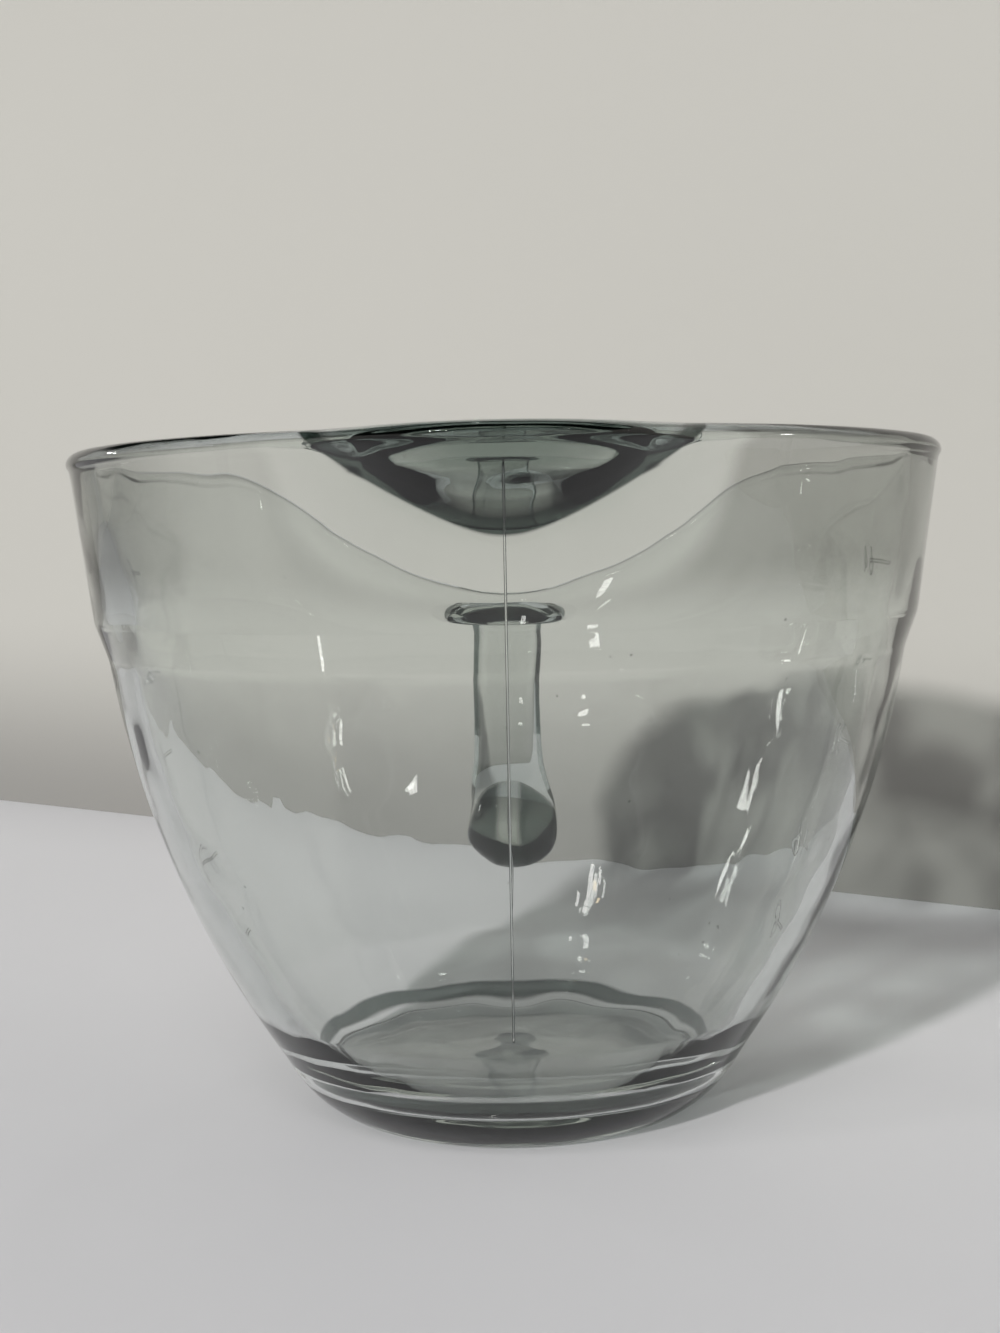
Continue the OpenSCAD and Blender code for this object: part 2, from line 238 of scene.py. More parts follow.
def bowlSection():
    # the whole outline of half a cut through the bowl, from the foot's middle to the floor's
    b, g = bowlShape, gridShape
    heel, waist = (b["heelR"], b["heelZ"]), (b["waistR"], b["waistZ"])
    outer = [(0.0, 0.0)] + bowArc((b["footR"], 0), heel, b["heelBow"], g["heelSteps"])
    wall = bowArc(heel, waist, b["wallBow"], g["wallSteps"])[1:]
    outer += wall
    outer += [(b["bandR"], b["bandZ"]), (b["bandTopR"], b["beadZ"])]
    lowR = b["bandTopR"] - b["bandT"]
    midR, halfW = (b["rimR"] + lowR) / 2, (b["rimR"] - lowR) / 2
    beadH = b["height"] - b["beadZ"]
    bead = [(midR + halfW * oval(math.cos(t), b["beadPower"]),
             b["beadZ"] + beadH * oval(math.sin(t), b["beadPower"]))
            for t in np.linspace(0, math.pi, g["beadSteps"] + 1)]
    wallR = float(np.interp(b["filletZ"], [z for r, z in wall], [r for r, z in wall]))
    fillet = (wallR - b["wallT"] * b["heelWall"], b["filletZ"])
    waistIn = (b["waistR"] - b["wallT"], b["waistZ"])
    share = ((b["waistZ"] - b["filletZ"]) / (b["waistZ"] - b["heelZ"])) ** 2
    corner = (b["cornerR"], b["cornerZ"])
    groove = (b["grooveR"], b["grooveZ"])
    inner = [(b["floorR"], b["floorT"])] + bowArc(groove, corner, b["cornerBow"], g["cornerSteps"])
    inner += bowArc(corner, fillet, b["filletBow"], g["filletSteps"])[1:]
    inner += bowArc(fillet, waistIn, b["wallBow"] * share, g["innerSteps"])[1:]
    inner += bowArc(waistIn, (lowR, b["beadZ"]), b["innerBow"], g["bandSteps"])[1:]
    return [np.array(p) for p in outer + bead + inner[::-1] + [(0.0, b["floorT"])]]


def sectionRows():
    # the section rounded at its corners, with rows where it turns and at the joints
    g = gridShape
    fine = softened(spaced(bowlSection(), g["fineGap"]), g["roundPasses"])
    top = int(np.argmax(fine[:, 1]))
    marks = {}
    for level in (bowlShape["filletZ"], bowlShape["bandZ"]):
        outside = int(np.argmin(np.abs(fine[:top, 1] - level)))
        inside = top + int(np.argmin(np.abs(fine[top:, 1] - level)))
        for side, at in (("outer", outside), ("inner", inside)):
            crossed = (fine[at + 1, 1] - level) * (fine[at, 1] - level) < 0
            near = fine[at + 1] if crossed else fine[at - 1]
            rise = near[1] - fine[at, 1]
            if rise:
                fine[at] = fine[at] + (near - fine[at]) * (level - fine[at, 1]) / rise
            marks[at] = (side, level)
    kept, names = [0], {}
    turned = walked = 0.0
    for i in range(1, len(fine) - 1):
        before, after = fine[i] - fine[i - 1], fine[i + 1] - fine[i]
        turned += abs(math.degrees(math.atan2(
            before[0] * after[1] - before[1] * after[0], float(before @ after))))
        walked += float(np.linalg.norm(before))
        gap = g["bandGap"] if fine[i, 1] > bowlShape["bandZ"] else g["maxGap"]
        if i in marks or turned > g["maxTurn"] or walked > gap or i == top:
            kept.append(i)
            turned = walked = 0.0
            if i in marks:
                names[marks[i]] = len(kept) - 1
            if i == top:
                names["top"] = len(kept) - 1
    kept.append(len(fine) - 1)
    return fine[kept], names


def softAngle(a):
    return math.sqrt(a * a + spoutShape["tip"] ** 2) - spoutShape["tip"]


def bulgeShare(a):
    # how much of the spout's broad bulge an angle gets
    half = spoutShape["half"]
    return 0.0 if abs(a) >= half else math.cos(math.radians(90 * a / half)) ** 2


def creased(t, soft):
    # 0 while t is below zero, then a straight rise to 1, with a small round in between
    return (t + math.sqrt(t * t + soft * soft)) / (1 + math.sqrt(1 + soft * soft))


def scoop(a, z, low, half, power, soft):
    # share of a scoop that starts at a height in the middle and at half its angle at the rim
    top = bowlShape["beadZ"]
    edge = low + (top - low) * (softAngle(a) / softAngle(half)) ** power
    return creased((z - edge) / (top - low), soft)


def spoutReach(a, z, inside):
    # how far the spout carries a point of the section outwards
    s, b = spoutShape, bowlShape
    if abs(a) >= s["half"] or z <= b["bandZ"]:
        return 0.0
    z = min(z, b["beadZ"])
    if inside:
        rise = max(0.0, (z - s["bulgeInZ"]) / (b["beadZ"] - s["bulgeInZ"])) ** s["bulgeInPower"]
        return (s["bulgeIn"] * bulgeShare(a) * rise + s["trough"] * scoop(
            a, z, s["troughZ"], s["troughHalf"], s["troughPower"], s["troughCrease"]))
    u = (z - b["bandZ"]) / (b["beadZ"] - b["bandZ"])
    soft = s["bulgeSoft"]
    rise = math.sqrt(u * u + soft * soft) - soft
    out = scoop(a, z, s["beakZ"], s["beakHalf"], s["beakPower"], s["crease"])
    return s["bulge"] * bulgeShare(a) * rise + s["beak"] * out * (1 + s["beakEase"] * (1 - out))


def dipShare(a):
    half = spoutShape["half"]
    return max(0.0, 1 - (a / half) ** 2) ** spoutShape["dipPower"]


def shaped(r, z, inside, a):
    # a point of the section carried out into the spout, at an angle from the spout's middle
    b, s = bowlShape, spoutShape
    lift = min(1.0, max(0.0, (z - b["bandZ"]) / (b["beadZ"] - b["bandZ"])))
    if z > b["beadZ"]:
        # across the bead the reach goes over from the outer face's to the inner face's
        share = ease((b["rimR"] - r) / (b["rimR"] - b["bandTopR"] + b["bandT"]))
        reach = spoutReach(a, z, False) * (1 - share) + spoutReach(a, z, True) * share
    else:
        reach = spoutReach(a, z, inside)
    return (r + reach, z - s["dip"] * dipShare(a) * lift)


def bowlAngles():
    # angles of the columns from the spout's middle, denser at the spout
    half = spoutShape["half"]
    front = np.linspace(-half, half, int(round(2 * half / gridShape["spoutStep"])) + 1)
    count = int(round((360 - 2 * half) / gridShape["bowlStep"]))
    rest = np.linspace(half, 360 - half, count + 1)[1:-1]
    return np.concatenate([front, rest]), len(front) - 1


rows, rowNames = sectionRows()
angles, spoutLast = bowlAngles()
rowCount, colCount = len(rows), len(angles)
topRow = rowNames["top"]
print("bowl grid", rowCount, "rows", colCount, "columns")


def bowlGrid():
    grid = np.zeros((rowCount, colCount, 3))
    for j, angle in enumerate(angles):
        a = (angle + 180) % 360 - 180
        line = np.array([shaped(r, z, i > topRow, a) for i, (r, z) in enumerate(rows)])
        share = bulgeShare(a)
        if share > 0:
            # the lip's corner is rounded more where the spout reaches further
            lipZ = bowlShape["beadZ"] - spoutShape["lipMm"]
            near = [i for i in range(1, rowCount - 1) if rows[i][1] > lipZ]
            low, high = near[0] - 1, near[-1] + 2
            soft = line.copy()
            soft[low:high] = softened(line[low:high], spoutShape["lipPasses"])
            line = line + (soft - line) * min(1.0, share * spoutShape["lipBlend"])
        turn = math.radians(a)
        grid[:, j, 0] = line[:, 0] * math.sin(turn)
        grid[:, j, 1] = -line[:, 0] * math.cos(turn)
        grid[:, j, 2] = line[:, 1]
    return grid


def gridNormals(grid, closed):
    # outward normals of a grid whose columns may close on themselves
    along = np.zeros_like(grid)
    along[1:-1] = grid[2:] - grid[:-2]
    along[0], along[-1] = grid[1] - grid[0], grid[-1] - grid[-2]
    if closed:
        across = np.roll(grid, -1, axis=1) - np.roll(grid, 1, axis=1)
    else:
        across = np.zeros_like(grid)
        across[:, 1:-1] = grid[:, 2:] - grid[:, :-2]
        across[:, 0], across[:, -1] = grid[:, 1] - grid[:, 0], grid[:, -1] - grid[:, -2]
    normals = np.cross(across, along)
    size = np.linalg.norm(normals, axis=2, keepdims=True)
    return normals / np.maximum(size, tiny)


def waved(grid, normals):
    # the slow waves that pressed glass has, calmed at the foot and under the handle's root
    g, s = gridShape, spoutShape
    moved = grid.copy()
    for i in range(1, rowCount - 1):
        z = rows[i][1]
        outside = i <= topRow
        side = "outer" if outside else "inner"
        size, scale = g[side + "Wave"], g[side + "WaveMm"]
        shift = Vector(g[side + "Shift"])
        calmRow = ramp(z, g["footRamp"] if outside else g["floorRamp"])
        calmRow *= 1 + (g["bandWave"] - 1) * ramp(z, g["bandRamp"])
        calmRow *= 1 - g["rimCalm"] * ease((z - bowlShape["beadZ"]) / g["rimMm"])
        for j in range(colCount):
            x, y, h = grid[i, j]
            calm = calmRow
            if y > 0 and h > g["bandRamp"][0]:
                calm *= ramp(abs(x), g["rootRamp"])
            place = Vector((x / scale, y / scale, h / scale * g["waveSquash"])) + shift
            push = size * calm * noise.noise(place)
            if not outside:
                # the trough's own smaller waves
                inside, length = s["troughCalm"]
                deep = ease((math.hypot(x, y) - bowlShape["rimR"] + inside) / length)
                if deep > 0:
                    push += s["troughWave"] * deep * noise.noise(
                        Vector((x, y, h)) / s["troughWaveMm"] + shift)
            moved[i, j] += normals[i, j] * push
    return moved


bowlPoints = bowlGrid()
bowlPoints = waved(bowlPoints, gridNormals(bowlPoints, True))
bowlNormals = gridNormals(bowlPoints, True)
bowlNormals[0] = (0, 0, -1)
bowlNormals[-1] = (0, 0, 1)
print("bowl surface ready")


def wallAt(angle, z):
    # a point of the outer wall and its normal, at an angle from the spout and a nominal height
    outer = np.arange(2, topRow + 1)
    place = float(np.interp(z, rows[outer, 1], outer))
    cols = np.concatenate([angles, [angles[0] + 360]])
    angle = (angle - angles[0]) % 360 + angles[0]
    column = float(np.interp(angle, cols, np.arange(colCount + 1)))
    i, j = min(int(place), rowCount - 2), int(column) % colCount
    u, v = place - i, column - int(column)
    k = (j + 1) % colCount

    def mixed(table):
        return ((table[i, j] * (1 - v) + table[i, k] * v) * (1 - u)
                + (table[i + 1, j] * (1 - v) + table[i + 1, k] * v) * u)

    normal = mixed(bowlNormals)
    return mixed(bowlPoints), normal / np.linalg.norm(normal)


# building glass pieces out of grids

def linked(name, data):
    # a new object in the scene
    made = bpy.data.objects.new(name, data)
    bpy.context.scene.collection.objects.link(made)
    return made


class GlassBuild:
    # gathers points, faces and exact normals of one closed piece; joint faces are marked
    def __init__(self):
        self.points = []
        self.faces = []
        self.normals = []
        self.joints = []

    def point(self, place):
        self.points.append([float(v) for v in place])
        return len(self.points) - 1

    def face(self, corners, normals):
        self.faces.append(corners)
        self.normals.append(normals)
        self.joints.append(0.0)

    def joint(self, corners):
        # a flat face between two pieces
        places = np.array([self.points[k] for k in corners])
        normal = np.cross(places, np.roll(places, -1, axis=0)).sum(axis=0)
        self.face(corners, [normal / max(np.linalg.norm(normal), tiny)] * len(corners))
        self.joints[-1] = 1.0

    def surface(self, ids, normals, closed):
        # quads of a grid of point numbers, seen from outside
        steps = around(len(ids[0]))
        for i in range(len(ids) - 1):
            for j, k in steps if closed else steps[:-1]:
                self.face([ids[i][j], ids[i][k], ids[i + 1][k], ids[i + 1][j]],
                          [normals[i][j], normals[i][k], normals[i + 1][k], normals[i + 1][j]])

    def fan(self, ring, ringNormals, middle, way):
        # a ring closed by a point in its middle
        tip = self.point(middle)
        for j, k in around(len(ring)):
            self.face([ring[j], ring[k], tip], [ringNormals[j], ringNormals[k], way])

    def finished(self, name, material, slot, *nodes):
        mesh = bpy.data.meshes.new(name)
        mesh.from_pydata([[v * mm for v in p] for p in self.points], [], self.faces)
        mesh.materials.append(material)
        mark = mesh.attributes.new("joint", "FLOAT", "FACE")
        mark.data.foreach_set("value", self.joints)
        mesh.polygons.foreach_set("use_smooth", [True] * len(mesh.polygons))
        mesh.normals_split_custom_set([[float(v) for v in n] for row in self.normals for n in row])
        mesh.update()
        piece = linked(name, mesh)
        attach(piece, bodyName)
        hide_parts(*nodes)


def bowlBlock(build, first, last, columns, lift):
    # the grid's points between two rows, moved a hair at a joint
    ids, normals = [], []
    for i in range(first, last + 1):
        shift = np.array((0, 0, lift.get(i, 0.0)))
        ids.append([build.point(bowlPoints[i, j] + shift) for j in columns])
        normals.append([bowlNormals[i, j] for j in columns])
    return ids, normals


def ringJoint(build, outer, inner, facingUp):
    # the flat ring face between an outer and an inner row
    for j, k in around(len(outer)):
        corners = [outer[j], outer[k], inner[k], inner[j]]
        build.joint(corners if facingUp else corners[::-1])


def ringBlock(build, outer, inner, lift):
    # the skins between two outer rows and two inner rows, joined at the top
    outside, outsideN = bowlBlock(build, *outer, range(colCount), lift)
    inside, insideN = bowlBlock(build, *inner, range(colCount), lift)
    build.surface(outside, outsideN, True)
    build.surface(inside, insideN, True)
    ringJoint(build, outside[-1], inside[0], True)
    return outside[0], outsideN[0], inside[-1], insideN[-1]


def makeBase(material):
    # foot, floor and heel in one block
    hair = gridShape["jointGap"]
    top, topIn = (rowNames[(side, bowlShape["filletZ"])] for side in ("outer", "inner"))
    build = GlassBuild()
    low, lowN, high, highN = ringBlock(
        build, (1, top), (topIn, rowCount - 2), {top: -hair, topIn: -hair})
    build.fan(low[::-1], lowN[::-1], (0, 0, 0), (0, 0, -1))
    build.fan(high, highN, (0, 0, bowlShape["floorT"]), (0, 0, 1))
    build.finished("base", material, "thick_glass", "foot", "floor", "heel")


def makeWall(material):
    # the tapered wall and the shoulder
    hair = gridShape["jointGap"]
    a, b, c, d = (rowNames[(side, bowlShape[level])] for side, level in (
        ("outer", "filletZ"), ("outer", "bandZ"), ("inner", "bandZ"), ("inner", "filletZ")))
    build = GlassBuild()
    low, _, lowIn, _ = ringBlock(build, (a, b), (c, d), {a: hair, b: -hair, c: -hair, d: hair})
    ringJoint(build, low, lowIn, False)
    build.finished("wall", material, "clear_glass", "lower_wall", "shoulder")


def makeUpper(name, material, columns, *nodes):
    # a stretch of the band with its bead, or the spout with its lip
    hair = gridShape["jointGap"]
    high = bowlShape["bandZ"]
    first, last = rowNames[("outer", high)], rowNames[("inner", high)]
    build = GlassBuild()
    ids, normals = bowlBlock(build, first, last, columns, {first: hair, last: hair})
    for end, way in ((0, 1), (-1, -1)):
        # both ends stand back a hair from the next piece
        for row in ids:
            place = build.points[row[end]]
            x, y = place[:2]
            turn = way * hair / math.hypot(x, y)
            place[0] = x * math.cos(turn) - y * math.sin(turn)
            place[1] = x * math.sin(turn) + y * math.cos(turn)
    build.surface(ids, normals, False)
    for j in range(len(ids[0]) - 1):
        build.joint([ids[-1][j], ids[-1][j + 1], ids[0][j + 1], ids[0][j]])
    for end, order in ((0, 1), (-1, -1)):
        # each end is closed from the outer face across to the inner one
        side = [row[end] for row in ids]
        for i in range((len(side) - 1) // 2):
            corners = [side[i], side[i + 1], side[-2 - i], side[-1 - i]]
            if corners[1] == corners[2]:
                del corners[2]
            build.joint(corners[::order])
    build.finished(name, material, "clear_glass", *nodes)


# the handle

handleShape = {
    "gripY": 128.65, "rootZ": 136.0, "startY": 90.3, "bendR": 20.0, "bendY": 108.65,
    "lean": 0.06, "curlZ": 61.0, "curlR": 19.0, "curlTurn": 74.0, "tip": 11.0,
    "gripW": 21.5, "gripT": 11.5, "rootW": 42.0, "rootT": 18.0, "endW": 27.0, "endT": 20.0,
    "power": 0.95, "sides": 56, "flareW": 2.3, "flareT": 1.3, "flareMm": 2.2,
    "rootSteps": 9, "bendSteps": 10, "gripSteps": 6, "curlSteps": 10, "tipSteps": 7,
    # the fade, the ramps, the backs and the ends are in steps along the handle
    "rootFade": 11, "endRamp": (22, 11), "knobRamp": (29, 7), "knob": 0.5, "contactGap": 0.002,
    "rootShares": (0, 0.03, 0.07, 0.12, 0.18, 0.26, 0.36, 0.48, 0.62, 0.8),
    "ringStep": 0.5, "tipBacks": (0.7, 0.45, 0.25, 0.1), "patchShares": (0.8, 0.6, 0.4, 0.2),
    "rootEnd": 12.0, "gripEnd": 24.0,
}


def handlePath(q):
    # point and direction of the handle's centre line at step q
    h = handleShape
    lean = math.degrees(math.atan(h["lean"]))
    atBend, atGrip = h["rootSteps"], h["rootSteps"] + h["bendSteps"]
    atCurl = atGrip + h["gripSteps"]
    atTip = atCurl + h["curlSteps"]
    curlY = h["gripY"] - (h["rootZ"] - h["bendR"] - h["curlZ"]) * h["lean"]

    def onBend(a):
        turn = math.radians(a)
        return (h["bendY"] + h["bendR"] * math.sin(turn),
                h["rootZ"] - h["bendR"] + h["bendR"] * math.cos(turn))

    def onCurl(a):
        slope = math.radians(lean)
        centre = (curlY - h["curlR"] * math.cos(slope), h["curlZ"] + h["curlR"] * math.sin(slope))
        turn = math.radians(lean + a)
        return (centre[0] + h["curlR"] * math.cos(turn), centre[1] - h["curlR"] * math.sin(turn))

    if q <= atBend:
        return h["startY"] + (h["bendY"] - h["startY"]) * q / atBend, h["rootZ"], 0.0
    if q <= atGrip:
        a = (90 + lean) * (q - atBend) / h["bendSteps"]
        return (*onBend(a), a)
    if q <= atCurl:
        share = (q - atGrip) / h["gripSteps"]
        top, low = onBend(90 + lean), (curlY, h["curlZ"])
        return (top[0] + (low[0] - top[0]) * share, top[1] + (low[1] - top[1]) * share, 90 + lean)
    if q <= atTip:
        a = h["curlTurn"] * (q - atCurl) / h["curlSteps"]
        return (*onCurl(a), 90 + lean + a)
    a = 90 + lean + h["curlTurn"]
    y, z = onCurl(h["curlTurn"])
    run = h["tip"] * math.sin(math.radians(90 * (q - atTip) / h["tipSteps"]))
    return y + run * math.cos(math.radians(a)), z - run * math.sin(math.radians(a)), a


def handleHalves(q):
    # half the width and half the thickness at step q
    h = handleShape
    atTip = h["rootSteps"] + h["bendSteps"] + h["gripSteps"] + h["curlSteps"]
    root = 1 - ease(q / h["rootFade"])
    end = ramp(q, h["endRamp"])
    fade = 1.0 if q <= atTip else math.cos(math.radians(90 * (q - atTip) / h["tipSteps"]))
    width = h["gripW"] + (h["rootW"] - h["gripW"]) * root ** 2 + (h["endW"] - h["gripW"]) * end
    depth = h["gripT"] + (h["rootT"] - h["gripT"]) * root + (h["endT"] - h["gripT"]) * end
    return width / 2 * fade, depth / 2 * fade


def ovalShares():
    # the handle's section with half sizes of 1
    h = handleShape
    turns = [2 * math.pi * k / h["sides"] for k in range(h["sides"])]
    return [(oval(math.cos(t), h["power"]), oval(math.sin(t), h["power"])) for t in turns]


def handleRing(q):
    h = handleShape
    y, z, a = handlePath(q)
    halfW, halfT = handleHalves(q)
    turn = math.radians(a)
    ring = []
    for across, upward in ovalShares():
        v = halfT * upward
        if v < 0:
            v *= 1 + h["knob"] * ramp(q, h["knobRamp"])
        ring.append((halfW * across, y + v * math.sin(turn), z + v * math.cos(turn)))
    return ring


def bandY(x, z):
    # the band's outer face behind the bowl, where the handle's root sits
    b = bowlShape
    share = (z - b["bandZ"]) / (b["beadZ"] - b["bandZ"])
    radius = b["bandR"] + (b["bandTopR"] - b["bandR"]) * share
    return math.sqrt(radius ** 2 - x ** 2)


def rootHalves(y):
    # half the width and half the thickness at a place on the root's straight part
    h = handleShape
    return handleHalves((y - h["startY"]) / ((h["bendY"] - h["startY"]) / h["rootSteps"]))


def rootStart():
    # half sizes of the root's outline on the band
    halfW, halfT = rootHalves(bandY(0, handleShape["rootZ"]))
    return halfW + handleShape["flareW"], halfT + handleShape["flareT"]


def rootRing(share):
    # a ring of the root's straight part, from the band at 0 to the bend at 1
    h = handleShape
    startW, startT = rootStart()
    ring = []
    centre = bandY(0, h["rootZ"])
    y = centre + (h["bendY"] - centre) * share
    halfW, halfT = rootHalves(y)
    fade = math.exp(-(y - centre) / h["flareMm"]) * (1 - share)
    halfW += h["flareW"] * fade
    halfT += h["flareT"] * fade
    for across, upward in ovalShares():
        foot = bandY(startW * across, h["rootZ"] + startT * upward) + h["contactGap"]
        ring.append((halfW * across, foot + (h["bendY"] - foot) * share,
                     h["rootZ"] + halfT * upward))
    return ring


def handleGrid():
    h = handleShape
    lastStep = h["rootSteps"] + h["bendSteps"] + h["gripSteps"] + h["curlSteps"] + h["tipSteps"]
    rings = [rootRing(share) for share in h["rootShares"]]
    steps = list(np.arange(h["rootSteps"], lastStep - h["tipBacks"][0], h["ringStep"]))
    steps += [lastStep - back for back in h["tipBacks"]]
    ends = [len(rings) + steps.index(h[key]) for key in ("rootEnd", "gripEnd")]
    rings += [handleRing(q) for q in steps]
    return np.array(rings), ends, handlePath(lastStep)


handlePoints, handleEnds, handleTip = handleGrid()
handleNormals = -gridNormals(handlePoints, True)


def makeHandlePart(part, material, first, last):
    hair = gridShape["jointGap"]
    build = GlassBuild()
    ids, normals = [], []
    ends = {}
    for i, way in ((first, 1), (last, -1)):
        if 0 < i < len(handlePoints) - 1:
            step = handlePoints[i + way].mean(axis=0) - handlePoints[i].mean(axis=0)
            ends[i] = step / np.linalg.norm(step) * hair
    for i in range(first, last + 1):
        shift = ends.get(i, np.zeros(3))
        ids.append([build.point(p + shift) for p in handlePoints[i]])
        normals.append([handleNormals[i, j] for j in range(len(handlePoints[i]))])
    # these rings turn the other way than the bowl's rows
    build.surface([row[::-1] for row in ids], [row[::-1] for row in normals], True)
    if first == 0:
        contactPatch(build, ids[0])
    else:
        build.joint(ids[0])
    if last == len(handlePoints) - 1:
        y, z, degrees = handleTip
        a = math.radians(degrees)
        build.fan(ids[-1][::-1], normals[-1][::-1], (0, y, z), (0, math.cos(a), -math.sin(a)))
    else:
        build.joint(ids[-1][::-1])
    node = "handle_" + part
    build.finished(node + "_glass", material, "thick_glass", node)


def contactPatch(build, ring):
    # the root's face on the band, which follows the band's curve
    h = handleShape
    startW, startT = rootStart()
    outer = ring
    for share in h["patchShares"]:
        inner = []
        for across, upward in ovalShares():
            x = startW * share * across
            z = h["rootZ"] + startT * share * upward
            inner.append(build.point((x, bandY(x, z) + h["contactGap"], z)))
        ringJoint(build, outer, inner, True)
        outer = inner
    middle = build.point((0, bandY(0, h["rootZ"]) + h["contactGap"], h["rootZ"]))
    for j, k in around(len(ring)):
        build.joint([outer[j], outer[k], middle])


# seams, lines and figures: soft ridges that stand in the wall's surface

markShape = {
    "levels": (121.5, 100.5, 79.5, 54.0, 36.0), "lineW": 1.0, "lineHalf": 4.5, "raise": 0.5,
    "figureH": 8.0, "strokeW": 1.3, "pitch": 0.78, "leftTurn": -90.0, "rightTurn": 90.0,
    "seamW": 0.5, "seamOut": 0.07, "sink": 0.12, "profile": 10, "roundness": 0.7,
    "pathGap": 1.2, "strokeGap": 0.35, "capSteps": 4, "bluntMm": 0.04, "arcSteps": 15,
    "seamFrom": 29.0, "frontSeamTo": 143.0, "backSeamTo": 104.0, "voxel": 0.17,
    "left": ((8,), (6,), (4,), (2,), (1,)), "right": ((6, 4), (4, 8), (3, 2), (1, 6), (8,)),
}


def addRidge(points, faces, path, width, height):
    # a closed soft ridge along a path of wall angles and heights
    m = markShape
    spots = [wallAt(angle, z) for angle, z in path]
    places = [np.array(p) for p, _ in spots]
    half = width / 2
    run = np.concatenate([[0], np.cumsum([
        np.linalg.norm(b - a) for a, b in zip(places, places[1:])])])
    rings = []
    for i, (place, normal) in enumerate(spots):
        ahead = places[min(i + 1, len(places) - 1)] - places[max(i - 1, 0)]
        side = np.cross(normal, ahead)
        side /= np.linalg.norm(side)
        near = min(run[i], run[-1] - run[i]) + m["bluntMm"]
        cap = math.sqrt(max(0.0, 1 - max(0.0, 1 - near / half) ** 2))
        ring = []
        for k in range(m["profile"] + 1):
            turn = math.pi * k / m["profile"]
            out = -m["sink"] + (height + m["sink"]) * cap * math.sin(turn) ** m["roundness"]
            ring.append(len(points))
            points.append(place + side * (half * cap * math.cos(turn)) + normal * out)
        rings.append(ring)
    for a, b in zip(rings, rings[1:]):
        for k, n in around(m["profile"] + 1):
            faces.append((a[k], a[n], b[n], b[k]))
    faces.append(tuple(rings[0][::-1]))
    faces.append(tuple(rings[-1]))


def capped(path, gap, capMm):
    # points along a path, with a few more near its rounded ends, from lengths in millimetres
    flat = np.array(path, float)
    run = np.concatenate([[0], np.cumsum(np.linalg.norm(np.diff(flat, axis=0), axis=1))])
    total = run[-1]
    inner = np.linspace(capMm, total - capMm, max(2, int(total / gap) + 1))
    turns = np.linspace(0, math.pi / 2, markShape["capSteps"] + 1)
    edge = capMm * (1 - np.cos(turns))[:-1]
    at = np.concatenate([edge, inner, total - edge[::-1]])
    return np.stack([np.interp(at, run, flat[:, k]) for k in range(2)], axis=1)


def figureStrokes(value):
    # the strokes of one figure as lines of points, its foot's middle at zero; arcs in degrees
    m = markShape
    height, half = m["figureH"], m["strokeW"] / 2
    loop = (height - 2 * half) / 4
    low, high = (0, loop + half), (0, height - loop - half)
    top, foot = height - half, half

    def arc(centre, start, end):
        return [(centre[0] + loop * math.cos(math.radians(a)),
                 centre[1] + loop * math.sin(math.radians(a)))
                for a in np.linspace(start, end, m["arcSteps"] + 1)]

    if value == 1:
        return [[(0, foot), (0, top)], [(-height / 8, top - height / 8), (0, top)]]
    if value == 2:
        neck = arc(high, 160, -45)
        return [neck, [neck[-1], (-loop, foot)], [(-loop, foot), (loop, foot)]]
    if value == 3:
        return [arc(high, 150, -90), arc(low, 90, -150)]
    if value == 4:
        return [[(loop / 2, foot), (loop / 2, top)], [(loop / 2, top), (-loop, low[1])],
                [(-loop, low[1]), (loop, low[1])]]
    if value == 6:
        return [arc(low, 0, 375), [(-loop, low[1]), (height / 8, top)]]
    return [arc(low, 90, 465), arc(high, -90, 285)]


def finishedMark(name, points, faces, material, node, voxel=0.0):
    mesh = bpy.data.meshes.new(name)
    mesh.from_pydata([[float(v) * mm for v in p] for p in points], [], faces)
    piece = linked(name, mesh)
    if voxel:
        # strokes that cross are made one skin
        joined = piece.modifiers.new("joined", "REMESH")
        joined.mode, joined.voxel_size = "VOXEL", voxel * mm
        bpy.context.view_layer.update()
        skin = bpy.data.meshes.new_from_object(
            piece.evaluated_get(bpy.context.evaluated_depsgraph_get()))
        piece.modifiers.clear()
        piece.data = mesh = skin
    mesh.materials.clear()
    mesh.materials.append(material)
    mesh.polygons.foreach_set("use_smooth", [True] * len(mesh.polygons))
    mesh.update()
    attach(piece, bodyName)
    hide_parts(node)


def makeSeam(name, turn, high, material, node):
    m = markShape
    points, faces = [], []
    low = m["seamFrom"]
    path = [(turn, z) for z in np.linspace(low, high, int((high - low) / m["pathGap"]))]
    addRidge(points, faces, path, m["seamW"], m["seamOut"])
    finishedMark(name, points, faces, material, node)


def makeLines(name, turn, material, node):
    m = markShape
    points, faces = [], []
    for level in m["levels"]:
        away = math.hypot(*wallAt(turn, level)[0][:2])
        half = math.radians(m["lineHalf"]) * away
        path = [(turn + math.degrees(s / away), level) for s, _ in capped(
            [(-half, 0), (half, 0)], m["pathGap"], m["lineW"] / 2)]
        addRidge(points, faces, path, m["lineW"], m["raise"])
    finishedMark(name, points, faces, material, node)


def makeFigures(name, turn, table, material, node):
    m = markShape
    points, faces = [], []
    for level, values in zip(m["levels"], table):
        away = math.hypot(*wallAt(turn, level)[0][:2])
        pitch = math.degrees(math.atan(m["figureH"] * m["pitch"] / away))
        for place, value in enumerate(values):
            middle = turn + pitch * (place + 1)
            for stroke in figureStrokes(value):
                path = [(middle + math.degrees(u / away), level - m["figureH"] / 2 + v)
                        for u, v in capped(stroke, m["strokeGap"], m["strokeW"] / 2)]
                addRidge(points, faces, path, m["strokeW"], m["raise"])
    finishedMark(name, points, faces, material, node, m["voxel"])


# glass

